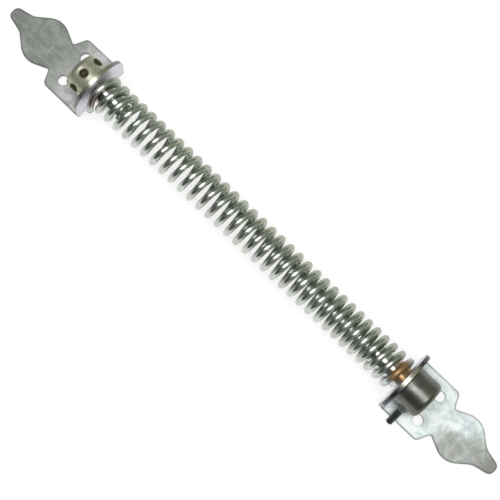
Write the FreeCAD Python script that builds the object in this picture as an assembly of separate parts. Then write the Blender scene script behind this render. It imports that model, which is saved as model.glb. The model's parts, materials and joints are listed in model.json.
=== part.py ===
import FreeCAD, Part
import math
import os

# Gate spring: a coil spring between two screw-on sheet brackets, with a collar at each end.
# Millimetres. X runs along the spring, Z stands up off the plates, plate backs lie at z = 0.
# The origin is below the middle of the spring. u runs from an ear's spring side to the plate tip.

# Both brackets: one bent stamping
SHEET_T = 2.0
BEND_R = 1.5
PLATE_W = 30.0
EAR_SPAN = 193.0            # spring side of one ear to spring side of the other
EAR_SWELL = 0.6             # how much wider than the plate the ear grows above the bend
EAR_WIDE_Z = 13.5
EAR_H = 30.0
EAR_TOP_R = 15.0
EDGE_R = 0.35               # rolled-over top edge of the stamping
SCREW_D = 5.0
SCREW_PITCH = 15.0
SCREW_U = 18.2

# Leaf-shaped end of the plate: corners of its outline before rounding
SHOULDER_U = 23.8
SHOULDER_R = 2.5
NOTCH_U = 27.0
NOTCH_W = 16.2
NOTCH_R = 1.2
LEAF_U = 39.3
LEAF_W = 27.4
LEAF_R = 9.8
WAIST_U = 50.0
WAIST_W = 9.9
WAIST_R = 8.0
TIP_U = 59.2
TIP_W = 5.6

# Collars, each turned in one with the neck that fills the end of the spring
AXIS_Z = 14.5               # spring axis above the plate backs
COLLAR_D = 19.0
ADJUSTER_L = 11.4           # collar beyond the ear, without its neck
STOP_L = 13.4
COLLAR_END_R = 2.6
COLLAR_EDGE_R = 0.6
ADJUSTER_NECK = 17.5        # neck inside the spring
STOP_NECK = 20.0
NOSE_R = 4.0
TOMMY_D = 4.0
TOMMY_COUNT = 6
TOMMY_TURN = 8.0            # degrees from straight up to the nearest mouth

# Spring, wound left-handed with open ends
WIRE_D = 3.3
SPRING_D = 18.8
TURNS = 33.85
COIL_DRIFT = 4.4            # how far the middle coils sit towards the stop end
DRIFT_LEAN = 1.5            # 1 puts the largest drift at mid spring, more puts it nearer the stop end
TAIL_TURNS = 0.22           # last stretch of wire, which bends away from the ear
ADJUSTER_TAIL_OUT = 2.9     # tail past the coil, outward
ADJUSTER_TAIL_IN = 3.3      # tail back towards the middle of the spring
STOP_TAIL_OUT = 0.4
STOP_TAIL_IN = 1.2

# Stop pin
PIN_D = 3.3
PIN_DEPTH = 6.0             # how far it is driven into the collar
PIN_OVER = 2.6              # how far it reaches past the plate's edge
CONE_D = 7.6                # flared root against the collar
CONE_L = 3.2

# Clearances
NECK_RUN = 0.05             # neck in the ear's hole, radial
COLLAR_GAP = 0.3            # collar face to ear
COIL_GRIP = 0.3             # neck to the bore of the spring, radial
COIL_GAP = 0.4              # end of the spring to the ear
PIN_REST = 0.3              # pin above the plate's edge
PIN_FIT = 0.02              # pin in its hole, and its root on the collar

# Derived
EAR_W = PLATE_W + EAR_SWELL
NECK_D = SPRING_D - 2 * WIRE_D - 2 * COIL_GRIP
COIL_R = (SPRING_D - WIRE_D) / 2
COLLAR_U = SHEET_T + COLLAR_GAP
TOMMY_U = COLLAR_U + ADJUSTER_L / 2
PIN_U = COLLAR_U + STOP_L / 2
ADJUSTER_RUN = TAIL_TURNS * EAR_SPAN / TURNS
STOP_RUN = TAIL_TURNS * (EAR_SPAN - math.pi * COIL_DRIFT * DRIFT_LEAN) / TURNS
ADJUSTER_SET = ADJUSTER_RUN - ADJUSTER_RUN ** 2 / (4 * ADJUSTER_TAIL_IN)    # how far the tail misses the ear
STOP_SET = STOP_RUN - STOP_RUN ** 2 / (4 * STOP_TAIL_IN)
COIL_START = COIL_GAP + WIRE_D / 2 - ADJUSTER_SET - EAR_SPAN / 2
COIL_END = EAR_SPAN / 2 - COIL_GAP - WIRE_D / 2 + STOP_SET
PITCH = (COIL_END - COIL_START) / TURNS
PIN_TILT = (math.acos((PIN_D / 2 + PIN_REST) / math.hypot(AXIS_Z - SHEET_T, PLATE_W / 2))
            - math.atan2(PLATE_W / 2, AXIS_Z - SHEET_T))
PIN_START = COLLAR_D / 2 - PIN_DEPTH
PIN_END = (PLATE_W / 2 + PIN_OVER) / math.cos(PIN_TILT)

V = FreeCAD.Vector
X = V(1, 0, 0)
Y = V(0, 1, 0)
Z = V(0, 0, 1)


def rounded_face(corners, origin, way_a, way_b):
    """Face with each corner (a, b, radius) rounded; a and b run along the two ways."""
    flat = [origin + way_a * a + way_b * b for a, b, radius in corners]
    cuts = []
    for i, (a, b, radius) in enumerate(corners):
        here = flat[i]
        back = (flat[i - 1] - here).normalize()
        ahead = (flat[(i + 1) % len(flat)] - here).normalize()
        half = back.getAngle(ahead) / 2
        if radius == 0:
            cuts.append((here, here, here))
            continue
        run = radius / math.tan(half)
        inward = (back + ahead).normalize()
        crown = here + inward * (radius / math.sin(half) - radius)
        cuts.append((here + back * run, crown, here + ahead * run))
    edges = []
    for i, (start, crown, end) in enumerate(cuts):
        before = cuts[i - 1][2]
        if before.distanceToPoint(start) > 1e-6:
            edges.append(Part.LineSegment(before, start).toShape())
        if start.distanceToPoint(end) > 1e-6:
            edges.append(Part.Arc(start, crown, end).toShape())
    return Part.Face(Part.Wire(edges))


def mirrored(half):
    """Outline corners of a half with b >= 0, followed by the same half mirrored."""
    return half + [(a, -b, radius) for a, b, radius in reversed(half)]


def bracket():
    """Bent stamping with its ear's spring side at x = 0 and its tip towards +X."""
    bend = SHEET_T + BEND_R
    section = rounded_face([(bend, 0, 0), (0, 0, bend), (0, EAR_H, 0), (SHEET_T, EAR_H, 0),
                            (SHEET_T, SHEET_T, BEND_R), (bend, SHEET_T, 0)],
                           V(0, -EAR_W, 0), X, Z)
    top_r = min(EAR_TOP_R, EAR_W / 2)
    outline = [(0, PLATE_W / 2, 0), (bend, PLATE_W / 2, EAR_H / 5),
               (EAR_WIDE_Z, EAR_W / 2, EAR_H / 2), (EAR_H, EAR_W / 2, top_r)]
    front = rounded_face(mirrored(outline), V(0, 0, 0), Z, Y).extrude(X * bend)
    ear = section.extrude(Y * (2 * EAR_W)).common(front)

    leaf = [(bend, PLATE_W / 2, 0), (SHOULDER_U, PLATE_W / 2, SHOULDER_R),
            (NOTCH_U, NOTCH_W / 2, NOTCH_R), (LEAF_U, LEAF_W / 2, LEAF_R),
            (WAIST_U, WAIST_W / 2, WAIST_R), (TIP_U, TIP_W / 2, TIP_W / 2)]
    plate = rounded_face(mirrored(leaf), V(0, 0, 0), X, Y).extrude(Z * SHEET_T)
    rim = [edge for edge in plate.Edges
           if edge.BoundBox.ZMin > SHEET_T / 2 and edge.BoundBox.XMax > bend + EDGE_R]
    plate = plate.makeFillet(EDGE_R, rim)

    holes = [Part.makeCylinder(SCREW_D / 2, SHEET_T, V(SCREW_U, side * SCREW_PITCH / 2, 0))
             for side in (-1, 1)]
    holes.append(Part.makeCylinder(NECK_D / 2 + NECK_RUN, SHEET_T, Z * AXIS_Z, X))
    body = ear.fuse(plate).removeSplitter()
    return body.cut(Part.makeCompound(holes)).Solids[0]


def collar_blank(length, neck):
    """Turned collar with its neck, round the X axis, placed for an ear at x = 0."""
    end = COLLAR_U + length
    profile = rounded_face([(-neck, 0, 0), (-neck, NECK_D / 2, NOSE_R),
                            (COLLAR_U, NECK_D / 2, 0),
                            (COLLAR_U, COLLAR_D / 2, COLLAR_EDGE_R),
                            (end, COLLAR_D / 2, COLLAR_END_R), (end, 0, 0)],
                           Z * AXIS_Z, X, Z)
    return profile.revolve(V(0, 0, AXIS_Z), X, 360)


def adjuster_collar():
    """Collar drilled right through for a tommy bar, one mouth near the top."""
    body = collar_blank(ADJUSTER_L, ADJUSTER_NECK)
    drills = []
    for i in range(TOMMY_COUNT // 2):
        turn = math.radians(TOMMY_TURN) + 2 * math.pi * i / TOMMY_COUNT
        way = V(0, math.sin(turn), math.cos(turn))
        start = V(TOMMY_U, 0, AXIS_Z) - way * COLLAR_D
        drills.append(Part.makeCylinder(TOMMY_D / 2, 2 * COLLAR_D, start, way))
    for drill in drills:
        body = body.cut(drill)
    return body.Solids[0]


def pin_line():
    """Centre on the collar's axis and direction of the pin, down towards the plate's edge."""
    way = V(0, -math.cos(PIN_TILT), -math.sin(PIN_TILT))
    return V(PIN_U, 0, AXIS_Z), way


def stop_collar():
    """Collar with one blind hole for the stop pin."""
    centre, way = pin_line()
    hole = Part.makeCylinder(PIN_D / 2 + PIN_FIT, COLLAR_D,
                             centre + way * (PIN_START - PIN_FIT), way)
    return collar_blank(STOP_L, STOP_NECK).cut(hole).Solids[0]


def stop_pin():
    """Round pin with a flared root that sits on the collar."""
    centre, way = pin_line()
    shank = Part.makeCylinder(PIN_D / 2, PIN_END - PIN_START, centre + way * PIN_START, way)
    ends = [edge for edge in shank.Edges
            if edge.Curve.TypeId == "Part::GeomCircle"]
    shank = shank.makeChamfer(PIN_D / 12, ends)
    slope = (CONE_D - PIN_D) / 2 / CONE_L
    sunk = CONE_D / 4
    cone = Part.makeCone(CONE_D / 2 + slope * sunk, PIN_D / 2, CONE_L + sunk,
                         centre + way * (COLLAR_D / 2 - sunk), way)
    seat = Part.makeCylinder(COLLAR_D / 2 + PIN_FIT, 2 * STOP_L,
                             V(COLLAR_U - STOP_L / 2, 0, AXIS_Z), X)
    return shank.fuse(cone.cut(seat)).removeSplitter().Solids[0]


def wire_point(turn):
    """Point on the wire's centre line; turn runs from 0 at -X to TURNS at +X."""
    first = max(0.0, 1 - turn / TAIL_TURNS) ** 2
    last = max(0.0, 1 - (TURNS - turn) / TAIL_TURNS) ** 2
    drift = COIL_DRIFT * math.sin(math.pi * (turn / TURNS) ** DRIFT_LEAN)
    x = COIL_START + PITCH * turn + drift + ADJUSTER_TAIL_IN * first - STOP_TAIL_IN * last
    radius = COIL_R + ADJUSTER_TAIL_OUT * first + STOP_TAIL_OUT * last
    angle = math.pi - 2 * math.pi * turn
    return V(x, radius * math.cos(angle), AXIS_Z + radius * math.sin(angle))


def wire_way(turn):
    """Direction of the wire's centre line."""
    step = 1e-4
    low = max(0.0, turn - step)
    high = min(TURNS, turn + step)
    return (wire_point(high) - wire_point(low)).normalize()


def arcs_between(low, high):
    """Two arcs, as (start, direction at the start, end), that follow the wire between two turns."""
    start = wire_point(low)
    end = wire_point(high)
    way = wire_way(low)
    last = wire_way(high)
    chord = end - start
    along = chord.dot(way + last)
    spread = 2 * (1 - way.dot(last))
    reach = (math.sqrt(along ** 2 + spread * chord.dot(chord)) - along) / spread
    middle = (start + end + (way - last) * reach) / 2
    turned = (middle - start - way * reach).normalize()
    return [(start, way, middle), (middle, turned, end)]


def spring():
    """Round wire as a chain of tangent ring pieces, with a bent tail at each end."""
    halves = [i / 2 for i in range(1, math.ceil(2 * (TURNS - TAIL_TURNS)))]
    stops = [0.0, TAIL_TURNS, *halves, TURNS - TAIL_TURNS, TURNS]
    rim = Part.makeCircle(WIRE_D / 2, wire_point(0), wire_way(0))
    skin = [Part.Face(Part.Wire(rim))]
    for low, high in zip(stops, stops[1:]):
        for start, way, end in arcs_between(low, high):
            chord = end - start
            axis = way.cross(chord).normalize()
            bend = way.getAngle(chord)
            centre = start + axis.cross(way) * (chord.Length / 2 / math.sin(bend))
            piece = rim.revolve(centre, axis, math.degrees(2 * bend))
            skin.append(piece)
            rim = [edge for edge in piece.Edges if edge.CenterOfMass.distanceToPoint(end) < 1e-3][0]
    skin.append(Part.Face(Part.Wire(rim)))
    shell = Part.makeShell(skin)
    shell.sewShape()
    return Part.Solid(shell)


def at_end(shape, side):
    """Place a shape made for an ear at x = 0: side +1 at the +X end, -1 turned about Z."""
    placed = shape.copy()
    if side < 0:
        placed.rotate(V(0, 0, 0), Z, 180)
    placed.translate(X * (side * EAR_SPAN / 2))
    return placed


os.makedirs("parts", exist_ok=True)
parts = {
    "adjuster_bracket": at_end(bracket(), -1),
    "stop_bracket": at_end(bracket(), 1),
    "adjuster_collar": at_end(adjuster_collar(), -1),
    "stop_collar": at_end(stop_collar(), 1),
    "stop_pin": at_end(stop_pin(), 1),
    "coil_spring": spring(),
}
for node, shape in parts.items():
    shape.exportStep("parts/" + node + ".step")
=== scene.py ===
import json
import math
from collections import namedtuple

import bpy
from bpy.props import FloatProperty, FloatVectorProperty, PointerProperty
from mathutils import Matrix, Vector


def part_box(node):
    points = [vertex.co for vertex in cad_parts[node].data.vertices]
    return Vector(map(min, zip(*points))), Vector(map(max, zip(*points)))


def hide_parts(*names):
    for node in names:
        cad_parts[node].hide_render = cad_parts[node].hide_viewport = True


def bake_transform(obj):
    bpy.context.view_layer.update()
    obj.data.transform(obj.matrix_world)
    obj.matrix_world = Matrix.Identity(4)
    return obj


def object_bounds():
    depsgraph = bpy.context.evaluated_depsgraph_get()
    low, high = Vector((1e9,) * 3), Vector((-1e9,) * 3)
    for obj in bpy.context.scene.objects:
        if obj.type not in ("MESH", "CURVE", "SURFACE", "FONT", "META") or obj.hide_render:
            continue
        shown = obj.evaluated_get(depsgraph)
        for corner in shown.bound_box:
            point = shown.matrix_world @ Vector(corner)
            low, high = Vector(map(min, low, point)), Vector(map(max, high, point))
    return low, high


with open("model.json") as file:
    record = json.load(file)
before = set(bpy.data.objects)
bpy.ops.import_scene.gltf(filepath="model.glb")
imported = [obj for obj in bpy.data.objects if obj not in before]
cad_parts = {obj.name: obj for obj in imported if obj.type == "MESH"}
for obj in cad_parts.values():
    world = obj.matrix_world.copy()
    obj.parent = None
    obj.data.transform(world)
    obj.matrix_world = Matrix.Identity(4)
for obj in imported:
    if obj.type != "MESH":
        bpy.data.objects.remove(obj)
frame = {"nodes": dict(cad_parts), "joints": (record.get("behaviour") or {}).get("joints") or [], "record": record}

CAD_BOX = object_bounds()

bl_info = {
    "name": "Gate Spring",
    "version": (1, 0, 0),
    "blender": (4, 5, 0),
    "location": "3D View > Sidebar > Gate Spring",
    "description": "Finishes, spring wire and studio for a gate spring",
    "category": "Object",
}

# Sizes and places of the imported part, in metres
MM = 0.001
JOINTS = {joint["name"]: joint for joint in frame["joints"]}
MOUNTS = {mount["name"]: mount for mount in frame["record"]["mounts"]}
AXIS_HEIGHT = JOINTS["spring_twist"]["pos_m"][2]
ADJUSTER_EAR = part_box("adjuster_bracket")[1].x
STOP_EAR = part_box("stop_bracket")[0].x
ADJUSTER_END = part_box("adjuster_collar")[0].x
STOP_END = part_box("stop_collar")[1].x
COLLAR_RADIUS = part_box("adjuster_collar")[1].y
SCREWS = MOUNTS["stop_screws"]
SCREW_X = SCREWS["pos_m"][0]
SCREW_Y = SCREWS["dims"]["spacing_y_mm"] * MM / 2
SCREW_RADIUS = SCREWS["dims"]["hole_r_mm"] * MM
PLATE_TOP = 2 * SCREWS["pos_m"][2]    # the screw mounts are at half the plate's thickness
TOMMY_HOLE = MOUNTS["tommy_hole"]
TOMMY_X = TOMMY_HOLE["pos_m"][0]
TOMMY_RADIUS = TOMMY_HOLE["dims"]["r_mm"] * MM
TOMMY_TURN = math.atan2(TOMMY_HOLE["axis"][1], TOMMY_HOLE["axis"][2])
TOMMY_MOUTHS = 6

# Bands over which a finish, a painted shade or a painted light changes, in metres
PALE_BAND = (0.013, 0.030)       # adjuster bracket, from its ear: pale zinc to the zinc darkened as painted shade
LEAF_BAND = (0.028, 0.034)       # adjuster bracket, from its ear: plate to leaf
TIP_BAND = (0.046, 0.056)        # adjuster bracket, from its ear: leaf to dull tip
FLANK_BAND = (0.0095, 0.0135)    # adjuster bracket, from its middle line: leaf to dull flank
STAIN_BAND = (0.024, 0.034)      # stop bracket, from its ear: clean plate to stained leaf
STAIN_TIP = (0.044, 0.056)       # stop bracket, from its ear: stained leaf to darker tip
STAIN_EDGE = (0.001, 0.009)      # across the slanting edge of the stain
STAIN_START = 0.030              # from the ear to where that edge crosses the middle line
STAIN_SLANT = 0.55               # that edge's step to +Y for each step towards the tip
STAIN_WANDER = 0.006             # how far blotches push that edge
BEND_HEIGHT = (PLATE_TOP + 0.0002, PLATE_TOP + 0.0025)    # plate to ear
RIM_HEIGHT = (PLATE_TOP + 0.0002, PLATE_TOP + 0.0020)     # where the plate's rim ends at the ear
SIDE_HEIGHT = (PLATE_TOP, PLATE_TOP + 0.0006)             # where the plate's sides end at the ear
SCREW_RING = (SCREW_RADIUS + 0.0007, SCREW_RADIUS + 0.0023)        # round a screw hole
HOLE_RING = (TOMMY_RADIUS + 0.0001, TOMMY_RADIUS + 0.0010)         # round a tommy hole
HOLE_SIDE = (TOMMY_RADIUS + 0.0002, TOMMY_RADIUS + 0.0006)         # along the collar, past a bore's side
SKIN_RADII = (COLLAR_RADIUS - 0.0008, COLLAR_RADIUS - 0.0002)      # inside of the collar to its skin
BORE_RADII = (COLLAR_RADIUS - 0.0050, COLLAR_RADIUS - 0.0025)      # deep in a bore to its mouth
CORNER_RADII = (COLLAR_RADIUS - 0.0042, COLLAR_RADIUS - 0.0022)    # flat end to rounded corner
CORNER_LENGTH = (0.0008, 0.0024)                                   # rounded corner to straight skin
NECK_STEP = 0.001                                                  # collar to neck
NECK_ROSY = ((-0.001, 0.0), (0.003, 0.007))          # adjuster neck, inwards from its ear
NECK_ROSY_SIDE = (-0.001, 0.003)                     # across it, fading towards +Y
NECK_RUST = ((-0.002, -0.001), (0.005, 0.008))       # stop neck, inwards from its ear
NECK_RUST_SIDE = (-0.0055, -0.0020)                  # across it, growing towards +Y
WIRE_CUT = (0.00002, 0.00010)                        # from each end of the wire

# Bands along the wire, in turns
WIRE_ROSY = ((0.03, 0.10), (0.18, 0.24))    # from the adjuster end
WIRE_RUST = ((0.46, 0.54), (0.66, 0.76))    # from the stop end

# Bands over which a finish, a painted shade or a painted reflection changes as a face turns, from 0, edge on to an
# axis, to 1, square to it
EAR_FACE = (0.5, 0.8)                # along the spring: other faces to the ear's flat, which gets a painted reflection
EAR_EDGE = (0.2, 0.6)                # along the spring: the ear's edge to other faces
PLATE_SIDE = (0.3, 0.85)             # upwards: the plate's side to its flat
ADJUSTER_EAR_TURN = (0.45, 0.80)     # sideways: top of the ear's edge to its sides in painted shade
STOP_EAR_TURN = (0.28, 0.62)         # sideways: top of the ear's edge to its sides in painted shade

# Bands that go round, from -1 on one side to 1 on the other
SHADED_SIDE = (-0.95, 0.0)        # on the coil, from its +Y side, darkened as painted shade, to its -Y side
ROOM_TURN = (-0.35, 0.65)            # in the room, from the picture's left to its right

# A collar's material as far as both collars are alike
Collar = namedtuple("Collar", "material tree shader place height out base metal")


def colour(label, about, default):
    """Colour property."""
    return FloatVectorProperty(name=label, description=about, subtype="COLOR", size=3,
                               min=0.0, max=1.0, default=default)


def length(label, about, default):
    """Length property, in metres."""
    return FloatProperty(name=label, description=about, unit="LENGTH", subtype="DISTANCE",
                         default=default)


def share(label, about, default):
    """Property from 0, none, to 1, full."""
    return FloatProperty(name=label, description=about, subtype="FACTOR", min=0.0, max=1.0,
                         default=default)


def angle(label, about, degrees):
    """Angle property, with its default in degrees."""
    return FloatProperty(name=label, description=about, subtype="ANGLE",
                         default=math.radians(degrees))


class GateSpringFinish(bpy.types.PropertyGroup):
    """Colours of the plated and darkened steel, with painted shade and painted light among them."""

    # Darker as painted shade, next to the stop bracket's zinc
    shaded_zinc: colour("Shaded zinc", "Leaf of the adjuster bracket", (0.222, 0.241, 0.220))
    pale_zinc: colour("Pale zinc", "Adjuster bracket near its ear, and the wire's cut ends",
                      (0.780, 0.770, 0.785))
    edge_zinc: colour("Edge zinc", "Tip and flanks of the adjuster bracket's leaf",
                      (0.163, 0.154, 0.168))
    # Lighter as a painted reflection of the soft box, next to the adjuster bracket's zinc
    lit_zinc: colour("Lit zinc", "Stop bracket", (0.860, 0.908, 0.910))
    blue_zinc: colour("Blue zinc", "Patches on the stop bracket", (0.500, 0.600, 0.645))
    zinc_stain: colour("Stain", "Brown-grey stain on the stop bracket", (0.273, 0.268, 0.245))
    # Painted reflection: the ears' flat faces are lighter than the plates, standing in for the pale floor they
    # mirror
    ear_sheen_zinc: colour("Ear", "Flat faces of the ears", (0.72, 0.71, 0.79))
    cut_edge: colour("Cut edge", "Top of the ears' sheared edge", (0.44, 0.425, 0.365))
    # Painted shade along the plates' outline and sides and on the stop ear's sides
    rim_shade: colour("Rim shade", "Darkened rim and sides of the plates, and sides of the stop ear",
                      (0.08, 0.08, 0.085))
    yellow_zinc: colour("Yellow zinc", "Adjuster collar", (0.61, 0.61, 0.475))
    dark_steel: colour("Dark steel", "Stop collar", (0.185, 0.19, 0.175))
    black_steel: colour("Black steel", "Stop pin", (0.040, 0.042, 0.048))
    # Real dirt in the collars' specks, and painted shade at their rounded ends and at the mouths of the tommy
    # holes; it also darkens a ring round those holes
    grime_and_shade: colour("Grime and shade", "Dirt round the tommy holes and on the collars", (0.09, 0.085, 0.05))
    # Painted light: deep inside the tommy holes is paler than at their mouths
    bore: colour("Bore", "Deep inside the tommy holes", (0.62, 0.57, 0.42))
    wire_zinc: colour("Wire", "Plated spring wire and collar necks", (0.61, 0.645, 0.62))
    # Painted shade on the coil's +Y side
    wire_side_shade: colour("Wire side shade", "Side of the coil away from the stop pin",
                         (0.34, 0.365, 0.285))
    wire_tarnish: colour("Wire tarnish", "Duller patches on the wire", (0.46, 0.46, 0.40))
    rust: colour("Rust", "Rust at the stop end of the spring", (0.34, 0.175, 0.048))
    rosy: colour("Rosy tint", "Tint at the adjuster end of the spring", (0.34, 0.25, 0.22))


class GateSpringWearAndShade(bpy.types.PropertyGroup):
    """How dull, scratched, dirty and rusty the pieces are, and how dark their painted shade is."""

    # The next four set the painted shade along the plates' outline and on their sheared sides
    rim_width: length("Rim width", "Reach of the darkened band along the plates' outline", 0.0022)
    rim: share("Rim", "Darkness of that band", 0.88)
    screw_rim: share("Screw rim", "Part of that darkness close round the screw holes", 0.3)
    plate_side: share("Plate sides", "Darkness of the plates' sheared sides", 0.9)
    leaf_spots: share("Leaf spots", "Light spots on the adjuster bracket", 0.6)
    leaf_clouds: share("Leaf clouds", "Broad dark blotches on the adjuster bracket", 0.45)
    leaf_grain: share("Leaf grain", "Fine dark grain on the adjuster bracket", 0.5)
    leaf_scratches: share("Leaf scratches", "Light scratches on the adjuster bracket", 0.36)
    leaf_rim: share("Leaf rim", "Dullness of the leaf's tip and flanks", 0.45)
    blue_patches: share("Blue patches", "Blue patches on the stop bracket", 0.8)
    tip_stain: share("Tip stain", "Stain at the tip of the stop bracket", 0.92)
    collar_specks: share("Collar specks", "Dirt specks on the collars", 0.45)
    # Painted shade on the collars' rounded ends
    collar_corner_shade: share("Collar corner", "Dirt at the rounded end of the collars", 0.6)
    # Darkens a ring round each tommy hole
    hole_ring: share("Hole ring", "Dirt round the tommy holes", 0.85)
    tarnish: share("Tarnish", "Duller patches on the wire", 0.6)
    # Painted shade on the coil's +Y side
    side_shade: share("Side shade", "Dullness of the coil's side away from the stop pin", 0.85)
    rust: share("Rust", "Rust at the stop end of the spring", 0.9)
    rust_matt: share("Rust matt", "How much less metallic the rust is", 0.45)
    rosy: share("Rosy tint", "Tint at the adjuster end of the spring", 0.7)


class GateSpringWire(bpy.types.PropertyGroup):
    """Sizes of the wound wire."""

    wire_diameter: length("Wire", "Diameter of the wire", 0.0033)
    coil_diameter: length("Coil", "Outside diameter of the coil", 0.0188)
    turns: FloatProperty(name="Turns", description="Number of turns", default=33.85, min=1.0)
    drift: length("Drift", "How far the middle coils sit towards the stop end", 0.0044)
    drift_lean: FloatProperty(name="Drift lean", default=1.5,
                              description="1 drifts most at mid spring, more nearer the stop")
    tail_turns: FloatProperty(name="Tail turns", description="Share of a turn that bends away",
                              default=0.22)
    adjuster_tail_out: length("Adjuster tail out", "Adjuster end's tail past the coil", 0.0029)
    adjuster_tail_in: length("Adjuster tail in", "Adjuster end's tail towards the middle", 0.0033)
    stop_tail_out: length("Stop tail out", "Stop end's tail past the coil", 0.0004)
    stop_tail_in: length("Stop tail in", "Stop end's tail towards the middle", 0.0012)
    ear_gap: length("Ear gap", "Wire to the ear", 0.0004)


class GateSpringStudio(bpy.types.PropertyGroup):
    """Camera, light and floor."""

    elevation: angle("Elevation", "Camera above the horizon", 81.07)
    azimuth: angle("Azimuth", "Camera direction round the vertical, from +X", -56.35)
    slant: angle("Slant", "How far the spring falls to the right in the picture", 43.75)
    distance: length("Distance", "Camera to the aim", 0.6845)
    lens: FloatProperty(name="Lens", description="Focal length in millimetres",
                        subtype="DISTANCE_CAMERA", default=108.0)
    aim_x: length("Aim X", "Picture centre along the spring", 0.0058)
    aim_y: length("Aim Y", "Picture centre across the spring", -0.0060)
    key_power: FloatProperty(name="Key", description="Soft box in watts", subtype="POWER", default=9.0)
    key_place: FloatVectorProperty(name="Key place", description="Middle of the soft box", size=3,
                                   unit="LENGTH", subtype="TRANSLATION", default=(0.0, -0.10, 1.1))
    key_size: FloatVectorProperty(name="Key size", description="Sides of the soft box", size=2,
                                  unit="LENGTH", default=(1.3, 0.55))
    room_light: share("Room", "Strength of the room light", 1.0)
    room_bright: colour("Bright side", "Room on the picture's right", (0.34, 0.37, 0.28))
    room_dark: colour("Dark side", "Room on the picture's left", (0.085, 0.094, 0.088))
    floor_half: length("Floor", "Half the side of the floor", 30.0)
    floor_gap: length("Floor gap", "Plates to the floor", 0.0003)
    floor_matt: colour("Floor colour", "Matt colour of the floor, which takes the shadow",
                       (0.35, 0.35, 0.35))
    floor_glow: share("Floor glow", "Floor's own white to the eye and in the metal", 0.76)


class GateSpringSettings(bpy.types.PropertyGroup):
    """All settings of the gate spring."""

    finish: PointerProperty(type=GateSpringFinish)
    wear_and_shade: PointerProperty(type=GateSpringWearAndShade)
    wire: PointerProperty(type=GateSpringWire)
    studio: PointerProperty(type=GateSpringStudio)


# Node helpers

def feed(tree, socket, value):
    """Link a socket to an output, or set it to a plain value."""
    if isinstance(value, bpy.types.NodeSocket):
        tree.links.new(value, socket)
    elif socket.type == "RGBA" and len(value) == 3:
        socket.default_value = (*value, 1.0)
    else:
        socket.default_value = value


def feed_all(tree, inputs, **values):
    """Feed inputs by name, with _ for a space."""
    for name, value in values.items():
        feed(tree, inputs[name.replace("_", " ")], value)


def add(tree, kind, **values):
    """New node; a value feeds the input of that name, or else sets the node's own property."""
    node = tree.nodes.new(kind)
    for name, value in values.items():
        socket = node.inputs.get(name.replace("_", " "))
        if socket is None:
            setattr(node, name, value)
        else:
            feed(tree, socket, value)
    return node


def maths(tree, operation, *values):
    """Result of a Math node."""
    node = tree.nodes.new("ShaderNodeMath")
    node.operation = operation
    for socket, value in zip(node.inputs, values):
        feed(tree, socket, value)
    return node.outputs[0]


def times(tree, first, second):
    """Product of two values."""
    return maths(tree, "MULTIPLY", first, second)


def minus(tree, first, second):
    """Difference of two values."""
    return maths(tree, "SUBTRACT", first, second)


def absolute(tree, value):
    """A value without its sign."""
    return maths(tree, "ABSOLUTE", value)


def linear(tree, value, gain, base):
    """A value times a gain, on top of a base."""
    return maths(tree, "MULTIPLY_ADD", value, gain, base)


def distance(tree, first, second):
    """Distance over two steps at right angles."""
    squares = maths(tree, "ADD", times(tree, first, first), times(tree, second, second))
    return maths(tree, "SQRT", squares)


def ramped(tree, value, low, high, start=0.0, end=1.0):
    """Smooth step of a value from one range to another."""
    node = add(tree, "ShaderNodeMapRange", interpolation_type="SMOOTHSTEP")
    feed_all(tree, node.inputs, Value=value, From_Min=low, From_Max=high, To_Min=start, To_Max=end)
    return node.outputs[0]


def fading(tree, value, low, high, start=1.0):
    """Smooth step of a value down to 0."""
    return ramped(tree, value, low, high, start, 0.0)


def between(tree, value, rise, fall):
    """1 after one band and before the next, 0 outside them."""
    return times(tree, ramped(tree, value, *rise), fading(tree, value, *fall))


def blended(tree, amount, first, second):
    """Colour between two colours."""
    node = tree.nodes.new("ShaderNodeMix")
    node.data_type = "RGBA"
    # The node has a set of sockets for each data type, and these are the ones for colours
    factor, first_colour, second_colour = node.inputs[0], node.inputs[6], node.inputs[7]
    result = node.outputs[2]
    feed(tree, factor, amount)
    feed(tree, first_colour, first)
    feed(tree, second_colour, second)
    return result


def toned(base, factor):
    """A colour made lighter or darker."""
    return tuple(factor * part for part in base)


def placed(tree, group, **values):
    """Outputs of a node group placed in a material."""
    node = tree.nodes.new("ShaderNodeGroup")
    node.node_tree = group
    feed_all(tree, node.inputs, **values)
    return node.outputs


def new_group(name, inputs, outputs):
    """Shader node group with its sockets, inputs given as (name, socket type, default)."""
    tree = bpy.data.node_groups.new(name, "ShaderNodeTree")
    for label, kind, default in inputs:
        socket = tree.interface.new_socket(label, in_out="INPUT", socket_type=kind)
        if default is not None:
            socket.default_value = default
    for label, kind in outputs:
        tree.interface.new_socket(label, in_out="OUTPUT", socket_type=kind)
    start = tree.nodes.new("NodeGroupInput")
    end = tree.nodes.new("NodeGroupOutput")
    return tree, start.outputs, end.inputs


def cloud_group():
    """Soft blotches, and a finer grain."""
    name = "Plating clouds"
    if name in bpy.data.node_groups:
        return bpy.data.node_groups[name]
    tree, inp, out = new_group(name, [("Vector", "NodeSocketVector", None),
                                      ("Scale", "NodeSocketFloat", 200.0),
                                      ("Low", "NodeSocketFloat", 0.35),
                                      ("High", "NodeSocketFloat", 0.65)],
                               [("Mask", "NodeSocketFloat"), ("Grain", "NodeSocketFloat")])
    grain_ratio = 7.0    # scale of the grain to that of the blotches
    broad = add(tree, "ShaderNodeTexNoise", Vector=inp["Vector"], Scale=inp["Scale"], Detail=4.0,
                Roughness=0.6, Distortion=0.4)
    fine = add(tree, "ShaderNodeTexNoise", Vector=inp["Vector"],
               Scale=times(tree, inp["Scale"], grain_ratio), Detail=3.0, Roughness=0.65)
    feed(tree, out["Mask"], ramped(tree, broad.outputs[0], inp["Low"], inp["High"]))
    feed(tree, out["Grain"], fine.outputs[0])
    return tree


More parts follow.
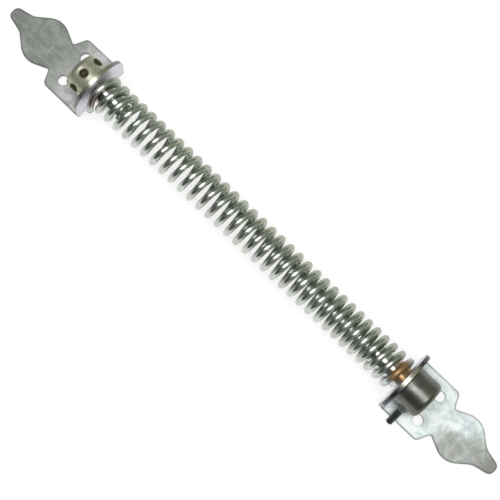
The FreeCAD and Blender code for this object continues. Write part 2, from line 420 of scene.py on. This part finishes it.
def tool_mark_group():
    """Fine lines, drawn out along one axis by the stretch that comes in with the vector."""
    name = "Tool marks"
    if name in bpy.data.node_groups:
        return bpy.data.node_groups[name]
    tree, inp, out = new_group(name, [("Vector", "NodeSocketVector", None),
                                      ("Stretch", "NodeSocketVector", (1.0, 1.0, 1.0)),
                                      ("Scale", "NodeSocketFloat", 1000.0)],
                               [("Height", "NodeSocketFloat"), ("Streak", "NodeSocketFloat")])
    streak_ratio = 0.3    # scale of the streaks to that of the lines
    streak_band = (0.4, 0.65)
    drawn = add(tree, "ShaderNodeVectorMath", operation="MULTIPLY")
    feed(tree, drawn.inputs[0], inp["Vector"])
    feed(tree, drawn.inputs[1], inp["Stretch"])
    fine = add(tree, "ShaderNodeTexNoise", Vector=drawn.outputs[0], Scale=inp["Scale"], Detail=5.0,
               Roughness=0.7)
    coarse = add(tree, "ShaderNodeTexNoise", Vector=drawn.outputs[0],
                 Scale=times(tree, inp["Scale"], streak_ratio), Detail=2.0)
    feed(tree, out["Height"], fine.outputs[0])
    feed(tree, out["Streak"], ramped(tree, coarse.outputs[0], *streak_band))
    return tree


def rim_group():
    """Band along the edges of a piece, found where its rounded normal leaves its own."""
    name = "Rim"
    if name in bpy.data.node_groups:
        return bpy.data.node_groups[name]
    tree, inp, out = new_group(name, [("Radius", "NodeSocketFloat", 0.0006)],
                               [("Mask", "NodeSocketFloat")])
    agreement = (0.84, 0.999)
    rounded = add(tree, "ShaderNodeBevel", samples=8, Radius=inp["Radius"])
    flat = tree.nodes.new("ShaderNodeNewGeometry").outputs["True Normal"]
    same = add(tree, "ShaderNodeVectorMath", operation="DOT_PRODUCT")
    feed(tree, same.inputs[0], rounded.outputs[0])
    feed(tree, same.inputs[1], flat)
    feed(tree, out["Mask"], fading(tree, same.outputs["Value"], *agreement))
    return tree


def new_material(name):
    """Material with a Principled shader; returns the material, its tree and the shader's inputs."""
    material = bpy.data.materials.new(name)
    material.use_nodes = True
    tree = material.node_tree
    tree.nodes.clear()
    shader = tree.nodes.new("ShaderNodeBsdfPrincipled")
    output = tree.nodes.new("ShaderNodeOutputMaterial")
    tree.links.new(shader.outputs[0], output.inputs[0])
    return material, tree, shader.inputs


def bumped(tree, shader, height, depth, strength):
    """Bump on the shader's normal; depth in metres."""
    bump = add(tree, "ShaderNodeBump", Height=height, Strength=strength, Distance=depth)
    feed(tree, shader["Normal"], bump.outputs[0])


def object_place(tree):
    """Place on the piece in the part's own frame, and its X, Y and Z."""
    where = tree.nodes.new("ShaderNodeTexCoord").outputs["Object"]
    return where, add(tree, "ShaderNodeSeparateXYZ", Vector=where).outputs


def facing(tree):
    """How squarely the surface faces along X, Y and Z, without sign."""
    normal = tree.nodes.new("ShaderNodeTexCoord").outputs["Normal"]
    split = add(tree, "ShaderNodeSeparateXYZ", Vector=normal).outputs
    return [absolute(tree, way) for way in split]


# Brackets

def away_from_screws(tree, place, close):
    """1 on the plate, and a smaller value close round its screw holes."""
    along = minus(tree, absolute(tree, place[0]), SCREW_X)
    across = minus(tree, absolute(tree, place[1]), SCREW_Y)
    return ramped(tree, distance(tree, along, across), *SCREW_RING, close, 1.0)


def sheet_material(name, settings, base_of, ear_end_shade, ear_shade_turn):
    """Plated sheet: base_of gives the flat colour, then come the ear with a painted reflection, the dark rim and
    sides in painted shade, and the ear's edge.

    The ear's edge takes a darker colour as painted shade where it faces sideways; the last two arguments give that
    colour and how far the edge must turn.
    """
    finish = settings.finish
    wear_and_shade = settings.wear_and_shade
    plate_metal = 0.25
    ear_metal = 0.85
    material, tree, shader = new_material(name)
    where, place = object_place(tree)
    face_x, face_y, face_z = facing(tree)
    clouds = placed(tree, cloud_group(), Vector=where, Scale=120.0, Low=0.32, High=0.68)
    marks = placed(tree, tool_mark_group(), Vector=where, Stretch=(0.12, 1.0, 1.0), Scale=1500.0)

    raised = ramped(tree, place[2], *BEND_HEIGHT)
    ear_face = times(tree, raised, ramped(tree, face_x, *EAR_FACE))
    ear_edge = times(tree, raised, fading(tree, face_x, *EAR_EDGE))
    # Painted shade: a dark band along the plates' outline and on their sheared sides
    side = times(tree, fading(tree, face_z, *PLATE_SIDE), fading(tree, place[2], *SIDE_HEIGHT))
    rim = placed(tree, rim_group(), Radius=wear_and_shade.rim_width)["Mask"]
    rim = times(tree, rim, fading(tree, place[2], *RIM_HEIGHT, wear_and_shade.rim))
    rim = times(tree, rim, away_from_screws(tree, place, wear_and_shade.screw_rim))
    dark = maths(tree, "MAXIMUM", rim, times(tree, side, wear_and_shade.plate_side))

    base = base_of(tree, where, place, clouds)
    # Painted reflection on the ear's flat faces
    base = blended(tree, ear_face, base, finish.ear_sheen_zinc)
    base = blended(tree, dark, base, finish.rim_shade)
    # Painted shade where the ear's edge faces sideways
    edge_colour = blended(tree, ramped(tree, face_y, *ear_shade_turn), finish.cut_edge, ear_end_shade)
    base = blended(tree, ear_edge, base, edge_colour)
    metal = ramped(tree, place[2], *BEND_HEIGHT, plate_metal, ear_metal)
    rough = linear(tree, clouds["Grain"], gain=0.16, base=0.34)
    rough = linear(tree, ear_edge, gain=-0.14, base=rough)
    feed_all(tree, shader, Base_Color=base, Metallic=metal, Roughness=rough)
    grain = maths(tree, "ADD", marks["Height"], clouds["Grain"])
    bumped(tree, shader, grain, depth=0.00004, strength=0.5)
    return material


def shaded_sheet_base(finish, wear_and_shade):
    """Grey-green leaf, darker than the stop bracket as painted shade, with soft blotches and scratches, dull along
    its rim and paler towards the ear.
    """
    light = toned(finish.shaded_zinc, factor=1.75)
    dark = toned(finish.shaded_zinc, factor=0.62)
    grain_band = (0.45, 0.7)

    def base_of(tree, where, place, clouds):
        from_ear = minus(tree, ADJUSTER_EAR, place[0])
        spots = placed(tree, cloud_group(), Vector=where, Scale=260.0, Low=0.46, High=0.62)
        grain = ramped(tree, spots["Grain"], *grain_band)
        scratches = placed(tree, tool_mark_group(), Vector=where, Stretch=(0.3, 1.0, 1.0), Scale=1300.0)
        base = blended(tree, fading(tree, from_ear, *PALE_BAND), finish.shaded_zinc, finish.pale_zinc)
        base = blended(tree, times(tree, spots["Mask"], wear_and_shade.leaf_spots), base, light)
        base = blended(tree, times(tree, clouds["Mask"], wear_and_shade.leaf_clouds), base, dark)
        base = blended(tree, times(tree, grain, wear_and_shade.leaf_grain), base, dark)
        base = blended(tree, times(tree, scratches["Streak"], wear_and_shade.leaf_scratches), base, light)
        flank = times(tree, ramped(tree, absolute(tree, place[1]), *FLANK_BAND),
                      ramped(tree, from_ear, *LEAF_BAND))
        rim = maths(tree, "MAXIMUM", ramped(tree, from_ear, *TIP_BAND), flank)
        return blended(tree, times(tree, rim, wear_and_shade.leaf_rim), base, finish.edge_zinc)
    return base_of


def lit_sheet_base(finish, wear_and_shade):
    """Bluish white plate, lighter than the adjuster bracket as a painted reflection of the soft box, with blue
    patches, stained brown-grey towards its tip and -Y side.
    """
    darker_stain = toned(finish.zinc_stain, factor=0.70)

    def base_of(tree, where, place, clouds):
        from_ear = minus(tree, place[0], STOP_EAR)
        spots = placed(tree, cloud_group(), Vector=where, Scale=230.0, Low=0.40, High=0.66)
        patches = placed(tree, cloud_group(), Vector=where, Scale=240.0, Low=0.30, High=0.62)
        base = blended(tree, times(tree, spots["Mask"], wear_and_shade.blue_patches),
                       finish.lit_zinc, finish.blue_zinc)
        edge = linear(tree, from_ear, gain=STAIN_SLANT, base=-STAIN_SLANT * STAIN_START)
        edge = minus(tree, edge, place[1])
        edge = linear(tree, clouds["Mask"], gain=STAIN_WANDER, base=edge)
        stained = times(tree, ramped(tree, edge, *STAIN_EDGE), ramped(tree, from_ear, *STAIN_BAND))
        patchy = linear(tree, patches["Mask"], gain=0.3, base=0.55)
        tip = times(tree, ramped(tree, from_ear, *STAIN_TIP), wear_and_shade.tip_stain)
        stained = times(tree, stained, maths(tree, "MAXIMUM", patchy, tip))
        return blended(tree, stained, base, blended(tree, tip, finish.zinc_stain, darker_stain))
    return base_of


# Collars and pin

def hole_distance(tree, place, height):
    """Distance on the collar's skin from the middle of the nearest tommy hole."""
    half_apart = math.pi / TOMMY_MOUTHS
    turn = minus(tree, maths(tree, "ARCTAN2", place[1], height), TOMMY_TURN)
    turn = maths(tree, "WRAP", turn, half_apart, -half_apart)
    return distance(tree, times(tree, turn, COLLAR_RADIUS), minus(tree, place[0], TOMMY_X))


def collar_nodes(name, settings, steel, ear, end, roughness, metallic):
    """Turned collar with blotches, dirt specks and a corner darkened as painted shade; its neck is as bright as
    the wire.
    """
    finish = settings.finish
    wear_and_shade = settings.wear_and_shade
    neck_roughness = 0.17
    ring_unevenness = 0.03
    material, tree, shader = new_material(name)
    where, place = object_place(tree)
    height = minus(tree, place[2], AXIS_HEIGHT)
    out = distance(tree, place[1], height)
    lathe = add(tree, "ShaderNodeCombineXYZ", X=place[0], Y=out, Z=times(tree, height, ring_unevenness))
    rings = placed(tree, tool_mark_group(), Vector=lathe.outputs[0], Scale=2500.0)
    clouds = placed(tree, cloud_group(), Vector=where, Scale=200.0, Low=0.3, High=0.7)
    specks = placed(tree, cloud_group(), Vector=where, Scale=520.0, Low=0.50, High=0.66)

    from_end = absolute(tree, minus(tree, place[0], end))
    # Painted shade on the rounded corner at the collar's end
    corner = times(tree, fading(tree, from_end, *CORNER_LENGTH, wear_and_shade.collar_corner_shade),
                   ramped(tree, out, *CORNER_RADII))
    neck_start = abs(ear - end)
    neck = ramped(tree, from_end, neck_start - NECK_STEP, neck_start)
    base = blended(tree, clouds["Mask"], toned(steel, factor=0.80), steel)
    base = blended(tree, times(tree, specks["Mask"], wear_and_shade.collar_specks), base, finish.grime_and_shade)
    base = blended(tree, corner, base, finish.grime_and_shade)
    base = blended(tree, neck, base, finish.wire_zinc)
    metal = linear(tree, neck, gain=1.0 - metallic, base=metallic)
    rough = linear(tree, rings["Streak"], gain=0.08, base=roughness)
    rough = linear(tree, neck, gain=neck_roughness - roughness, base=rough)
    feed(tree, shader["Roughness"], rough)
    bumped(tree, shader, rings["Height"], depth=0.00002, strength=0.4)
    return Collar(material, tree, shader, place, height, out, base, metal)


def drilled_collar_material(name, settings):
    """Yellowish collar with a darker ring round its drilled holes, painted shade and painted light inside them,
    and a rosy tint on its neck.
    """
    finish = settings.finish
    wear_and_shade = settings.wear_and_shade
    hole_matt = 0.8
    collar = collar_nodes(name, settings, finish.yellow_zinc, ADJUSTER_EAR, ADJUSTER_END,
                          roughness=0.38, metallic=0.7)
    tree = collar.tree
    x, y = collar.place["X"], collar.place["Y"]
    skin = ramped(tree, collar.out, *SKIN_RADII)
    away = hole_distance(tree, collar.place, collar.height)
    ring = times(tree, fading(tree, away, *HOLE_RING), skin)
    along = absolute(tree, minus(tree, x, TOMMY_X))
    # Inside each bore, painted shade near the mouth and painted light deeper in
    inside = times(tree, fading(tree, along, *HOLE_SIDE), minus(tree, 1.0, skin))
    deep = fading(tree, collar.out, *BORE_RADII)
    rosy = times(tree, between(tree, minus(tree, x, ADJUSTER_EAR), *NECK_ROSY),
                 fading(tree, y, *NECK_ROSY_SIDE))
    base = blended(tree, times(tree, ring, wear_and_shade.hole_ring), collar.base, finish.grime_and_shade)
    base = blended(tree, inside, base, blended(tree, deep, finish.grime_and_shade, finish.bore))
    base = blended(tree, times(tree, rosy, wear_and_shade.rosy), base, finish.rosy)
    metal = times(tree, collar.metal, linear(tree, inside, gain=-hole_matt, base=1.0))
    feed_all(tree, collar.shader, Base_Color=base, Metallic=metal)
    return collar.material


def rusted_collar_material(name, settings):
    """Dark collar whose neck is rusty beside the ear."""
    finish = settings.finish
    wear_and_shade = settings.wear_and_shade
    collar = collar_nodes(name, settings, finish.dark_steel, STOP_EAR, STOP_END,
                          roughness=0.30, metallic=0.9)
    tree = collar.tree
    x, y = collar.place["X"], collar.place["Y"]
    rusted = times(tree, between(tree, minus(tree, STOP_EAR, x), *NECK_RUST),
                   ramped(tree, y, *NECK_RUST_SIDE))
    base = blended(tree, times(tree, rusted, wear_and_shade.rust), collar.base, finish.rust)
    metal = times(tree, collar.metal, linear(tree, rusted, gain=-wear_and_shade.rust_matt, base=1.0))
    feed_all(tree, collar.shader, Base_Color=base, Metallic=metal)
    return collar.material


def pin_material(name, steel):
    """Blackened pin with a faint grain."""
    material, tree, shader = new_material(name)
    where = object_place(tree)[0]
    clouds = placed(tree, cloud_group(), Vector=where, Scale=400.0, Low=0.3, High=0.7)
    base = blended(tree, clouds["Mask"], steel, toned(steel, factor=1.8))
    rough = linear(tree, clouds["Grain"], gain=0.2, base=0.28)
    feed_all(tree, shader, Base_Color=base, Metallic=0.5, Roughness=rough)
    bumped(tree, shader, clouds["Grain"], depth=0.00003, strength=0.5)
    return material


# The wire

def wire_material(name, settings, total, turn_run):
    """Bright drawn wire with marks along it, one side darkened as painted shade, and tinted and rusty end coils.
    """
    finish = settings.finish
    wear_and_shade = settings.wear_and_shade
    material, tree, shader = new_material(name)
    where = add(tree, "ShaderNodeAttribute", attribute_name="wire_place").outputs["Vector"]
    turn = add(tree, "ShaderNodeAttribute", attribute_name="wire_turn").outputs["Fac"]
    run = add(tree, "ShaderNodeSeparateXYZ", Vector=where).outputs["Z"]
    run_left = minus(tree, total, run)
    lines = placed(tree, tool_mark_group(), Vector=where, Stretch=(1.0, 1.0, 0.02), Scale=2200.0)
    clouds = placed(tree, cloud_group(), Vector=where, Scale=180.0, Low=0.3, High=0.7)

    side = maths(tree, "COSINE", times(tree, turn, 2 * math.pi))
    rusted = between(tree, maths(tree, "DIVIDE", run_left, turn_run), *WIRE_RUST)
    rosy = between(tree, maths(tree, "DIVIDE", run, turn_run), *WIRE_ROSY)
    cut = maths(tree, "MAXIMUM", fading(tree, run, *WIRE_CUT), fading(tree, run_left, *WIRE_CUT))
    # Painted shade on the coil's +Y side
    side_shaded = fading(tree, side, *SHADED_SIDE, wear_and_shade.side_shade)
    base = blended(tree, times(tree, clouds["Mask"], wear_and_shade.tarnish),
                   finish.wire_zinc, finish.wire_tarnish)
    base = blended(tree, side_shaded, base, finish.wire_side_shade)
    base = blended(tree, times(tree, rusted, wear_and_shade.rust), base, finish.rust)
    base = blended(tree, times(tree, rosy, wear_and_shade.rosy), base, finish.rosy)
    base = blended(tree, cut, base, finish.pale_zinc)
    metal = linear(tree, rusted, gain=-wear_and_shade.rust_matt, base=1.0)
    rough = linear(tree, lines["Streak"], gain=0.06, base=0.20)
    rough = linear(tree, rusted, gain=0.12, base=rough)
    rough = linear(tree, clouds["Mask"], gain=0.08, base=rough)
    rough = linear(tree, cut, gain=0.3, base=rough)
    feed_all(tree, shader, Base_Color=base, Metallic=metal, Roughness=rough)
    bumped(tree, shader, lines["Height"], depth=0.00002, strength=0.4)
    return material


def wire_point(turn, wire, start, pitch):
    """Point on the wire's centre line, in metres."""
    # 1 at an end of the wire, down to 0 where its tail joins the coil
    first = max(0.0, 1.0 - turn / wire.tail_turns) ** 2
    last = max(0.0, 1.0 - (wire.turns - turn) / wire.tail_turns) ** 2
    drift = wire.drift * math.sin(math.pi * (turn / wire.turns) ** wire.drift_lean)
    x = start + pitch * turn + drift + wire.adjuster_tail_in * first - wire.stop_tail_in * last
    radius = (wire.coil_diameter - wire.wire_diameter) / 2
    radius += wire.adjuster_tail_out * first + wire.stop_tail_out * last
    heading = math.pi - 2 * math.pi * turn
    return Vector((x, radius * math.cos(heading), AXIS_HEIGHT + radius * math.sin(heading)))


def wire_rings(wire, steps):
    """Centre, outward way, sideways way and run along the wire at each step."""
    span = STOP_EAR - ADJUSTER_EAR
    margin = wire.ear_gap + wire.wire_diameter / 2
    # How far the coil advances along each tail, which sets where the wire comes nearest to the ear
    first_run = wire.tail_turns * span / wire.turns
    last_run = wire.tail_turns * (span - math.pi * wire.drift * wire.drift_lean) / wire.turns
    start = ADJUSTER_EAR + margin - first_run + first_run ** 2 / (4 * wire.adjuster_tail_in)
    end = STOP_EAR - margin + last_run - last_run ** 2 / (4 * wire.stop_tail_in)
    pitch = (end - start) / wire.turns
    count = round(wire.turns * steps)
    centres = [wire_point(wire.turns * i / count, wire, start, pitch) for i in range(count + 1)]
    rings = []
    run = 0.0
    for i, centre in enumerate(centres):
        before = centres[max(0, i - 1)]
        after = centres[min(count, i + 1)]
        way = (after - before).normalized()
        out = centre - Vector((centre.x, 0.0, AXIS_HEIGHT))
        out = (out - way * out.dot(way)).normalized()
        if i:
            run += (centre - before).length
        rings.append((centre, out, way.cross(out), run))
    return rings


def wire_mesh(name, wire, steps=48, sides=20):
    """Mesh of the wound wire with flat sheared ends, and its length.

    Each point keeps its place across and along the wire, and its turn, which is whole on the -Y side.
    """
    rings = wire_rings(wire, steps)
    last = len(rings) - 1
    half = wire.wire_diameter / 2
    points = []
    places = []
    turns = []
    faces = []
    for i, (centre, out, sideways, run) in enumerate(rings):
        turns.extend([wire.turns * i / last] * sides)
        for k in range(sides):
            heading = 2 * math.pi * k / sides
            across = (half * math.cos(heading), half * math.sin(heading))
            points.append(centre + out * across[0] + sideways * across[1])
            places.extend((*across, run))
    for i in range(last):
        for k in range(sides):
            a = i * sides + k
            b = i * sides + (k + 1) % sides
            faces.append((a, b, b + sides, a + sides))
    faces.append(tuple(reversed(range(sides))))
    faces.append(tuple(range(last * sides, (last + 1) * sides)))
    mesh = bpy.data.meshes.new(name)
    mesh.from_pydata(points, [], faces)
    mesh.attributes.new("wire_place", "FLOAT_VECTOR", "POINT").data.foreach_set("vector", places)
    mesh.attributes.new("wire_turn", "FLOAT", "POINT").data.foreach_set("value", turns)
    mesh.validate()
    mesh.update()
    # The four-sided faces are the wire's skin, and the other two its ends
    for polygon in mesh.polygons:
        polygon.use_smooth = polygon.loop_total == 4
    *_, total = rings[-1]
    return mesh, total


# Operators for the pieces

def dress(node, material):
    """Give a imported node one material."""
    slots = frame["nodes"][node].data.materials
    slots.clear()
    slots.append(material)


class GATESPRING_OT_brackets(bpy.types.Operator):
    """Plate both brackets with zinc"""

    bl_idname = "gate_spring.brackets"
    bl_label = "Brackets"

    def execute(self, context):
        settings = context.scene.gate_spring
        finish = settings.finish
        shaded_base = shaded_sheet_base(finish, settings.wear_and_shade)
        lit_base = lit_sheet_base(finish, settings.wear_and_shade)
        # The adjuster's sheet is darker as painted shade, and the stop's is lighter as a painted reflection of the
        # soft box
        dull = sheet_material("Shaded zinc sheet", settings, shaded_base,
                              finish.shaded_zinc, ADJUSTER_EAR_TURN)
        bright = sheet_material("Lit zinc sheet", settings, lit_base,
                                finish.rim_shade, STOP_EAR_TURN)
        dress("adjuster_bracket", dull)
        dress("stop_bracket", bright)
        return {"FINISHED"}


class GATESPRING_OT_collars(bpy.types.Operator):
    """Finish both turned collars"""

    bl_idname = "gate_spring.collars"
    bl_label = "Collars"

    def execute(self, context):
        settings = context.scene.gate_spring
        dress("adjuster_collar", drilled_collar_material("Yellow zinc collar", settings))
        dress("stop_collar", rusted_collar_material("Dark steel collar", settings))
        return {"FINISHED"}


class GATESPRING_OT_stop_pin(bpy.types.Operator):
    """Blacken the stop pin"""

    bl_idname = "gate_spring.stop_pin"
    bl_label = "Stop pin"

    def execute(self, context):
        finish = context.scene.gate_spring.finish
        dress("stop_pin", pin_material("Blackened pin", finish.black_steel))
        return {"FINISHED"}


class GATESPRING_OT_wire(bpy.types.Operator):
    """Wind the spring wire between the two collars"""

    bl_idname = "gate_spring.wire"
    bl_label = "Spring wire"

    def execute(self, context):
        settings = context.scene.gate_spring
        mesh, total = wire_mesh("spring_wire", settings.wire)
        turn_run = math.pi * (settings.wire.coil_diameter - settings.wire.wire_diameter)
        mesh.materials.append(wire_material("Plated wire", settings, total, turn_run))
        piece = bpy.data.objects.new("spring_wire", mesh)
        context.scene.collection.objects.link(piece)
        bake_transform(piece)
        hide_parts("coil_spring")
        return {"FINISHED"}


# The stage

def floor_material(studio):
    """Pale floor that reads as white to the eye and in the metal, and still takes the shadow."""
    material = bpy.data.materials.new("Pale floor")
    material.use_nodes = True
    tree = material.node_tree
    tree.nodes.clear()
    rays = tree.nodes.new("ShaderNodeLightPath").outputs
    seen = maths(tree, "MAXIMUM", rays["Is Camera Ray"],
                 maths(tree, "MAXIMUM", rays["Is Glossy Ray"], rays["Is Transmission Ray"]))
    matt = add(tree, "ShaderNodeBsdfDiffuse", Color=studio.floor_matt)
    glow = add(tree, "ShaderNodeEmission", Color=(1.0, 1.0, 1.0),
               Strength=times(tree, seen, studio.floor_glow))
    both = tree.nodes.new("ShaderNodeAddShader")
    tree.links.new(matt.outputs[0], both.inputs[0])
    tree.links.new(glow.outputs[0], both.inputs[1])
    output = tree.nodes.new("ShaderNodeOutputMaterial")
    tree.links.new(both.outputs[0], output.inputs[0])
    return material


def add_floor(studio):
    """Square floor just below the plates."""
    half = studio.floor_half
    height = CAD_BOX[0].z - studio.floor_gap
    corners = [(-half, -half, height), (half, -half, height),
               (half, half, height), (-half, half, height)]
    mesh = bpy.data.meshes.new("floor")
    mesh.from_pydata(corners, [], [(0, 1, 2, 3)])
    mesh.materials.append(floor_material(studio))
    floor = bpy.data.objects.new("floor", mesh)
    bpy.context.scene.collection.objects.link(floor)


def add_soft_box(studio):
    """Rectangular soft box above the part, aimed at the middle of the spring."""
    name = "key_soft_box"
    lamp = bpy.data.lights.new(name, "AREA")
    lamp.shape = "RECTANGLE"
    lamp.size, lamp.size_y = studio.key_size
    lamp.energy = studio.key_power
    place = Vector(studio.key_place)
    aim = Vector((0.0, 0.0, AXIS_HEIGHT))
    box = bpy.data.objects.new(name, lamp)
    box.location = place
    box.rotation_mode = "QUATERNION"
    box.rotation_quaternion = (aim - place).to_track_quat("-Z", "Y")
    bpy.context.scene.collection.objects.link(box)


def add_room(studio):
    """Dim room, bright on the picture's right and dark on its left."""
    world = bpy.data.worlds.new("room")
    world.use_nodes = True
    tree = world.node_tree
    tree.nodes.clear()
    generated = tree.nodes.new("ShaderNodeTexCoord").outputs["Generated"]
    way = add(tree, "ShaderNodeSeparateXYZ", Vector=generated).outputs
    rightwards = maths(tree, "ADD", times(tree, way["X"], math.cos(studio.slant)),
                       times(tree, way["Y"], math.sin(studio.slant)))
    shade = blended(tree, ramped(tree, rightwards, *ROOM_TURN), studio.room_dark, studio.room_bright)
    light = add(tree, "ShaderNodeBackground", Color=shade, Strength=studio.room_light)
    output = tree.nodes.new("ShaderNodeOutputWorld")
    tree.links.new(light.outputs[0], output.inputs[0])
    bpy.context.scene.world = world


def add_camera(studio):
    """Camera at the photograph's viewing angle."""
    back = Vector((math.cos(studio.elevation) * math.cos(studio.azimuth),
                   math.cos(studio.elevation) * math.sin(studio.azimuth),
                   math.sin(studio.elevation)))
    along = Vector((1.0, 0.0, 0.0))
    along = (along - back * along.dot(back)).normalized()
    across = back.cross(along)
    right = along * math.cos(studio.slant) + across * math.sin(studio.slant)
    up = back.cross(right)
    data = bpy.data.cameras.new("camera")
    data.lens = studio.lens
    data.clip_start = 0.01
    data.clip_end = 20.0
    camera = bpy.data.objects.new("camera", data)
    place = Vector((studio.aim_x, studio.aim_y, AXIS_HEIGHT)) + back * studio.distance
    turned = Matrix((right, up, back)).transposed().to_4x4()
    camera.matrix_world = Matrix.Translation(place) @ turned
    bpy.context.scene.collection.objects.link(camera)
    bpy.context.scene.camera = camera


class GATESPRING_OT_stage(bpy.types.Operator):
    """Set up the floor, the light and the camera"""

    bl_idname = "gate_spring.stage"
    bl_label = "Stage"

    def execute(self, context):
        studio = context.scene.gate_spring.studio
        context.scene.view_settings.view_transform = "Standard"
        add_floor(studio)
        add_soft_box(studio)
        add_room(studio)
        add_camera(studio)
        return {"FINISHED"}


class GATESPRING_PT_panel(bpy.types.Panel):
    """Colours, wear, sizes and steps of the gate spring"""

    bl_idname = "GATESPRING_PT_panel"
    bl_label = "Gate Spring"
    bl_space_type = "VIEW_3D"
    bl_region_type = "UI"
    bl_category = "Gate Spring"

    def draw(self, context):
        settings = context.scene.gate_spring
        for section in (settings.finish, settings.wear_and_shade, settings.wire, settings.studio):
            box = self.layout.box()
            for name in type(section).__annotations__:
                box.prop(section, name)
        for step in STEPS:
            self.layout.operator(step.bl_idname)


STEPS = (GATESPRING_OT_brackets, GATESPRING_OT_collars, GATESPRING_OT_stop_pin, GATESPRING_OT_wire,
         GATESPRING_OT_stage)
CLASSES = (GateSpringFinish, GateSpringWearAndShade, GateSpringWire, GateSpringStudio, GateSpringSettings,
           *STEPS, GATESPRING_PT_panel)


def register():
    """Add the classes and the scene's settings."""
    for item in CLASSES:
        bpy.utils.register_class(item)
    bpy.types.Scene.gate_spring = PointerProperty(type=GateSpringSettings)


def unregister():
    """Take the settings and the classes away again."""
    del bpy.types.Scene.gate_spring
    for item in reversed(CLASSES):
        bpy.utils.unregister_class(item)


def main():
    """Build everything in order."""
    register()
    bpy.ops.gate_spring.brackets()
    bpy.ops.gate_spring.collars()
    bpy.ops.gate_spring.stop_pin()
    bpy.ops.gate_spring.wire()
    bpy.ops.gate_spring.stage()


if __name__ == "__main__":
    main()
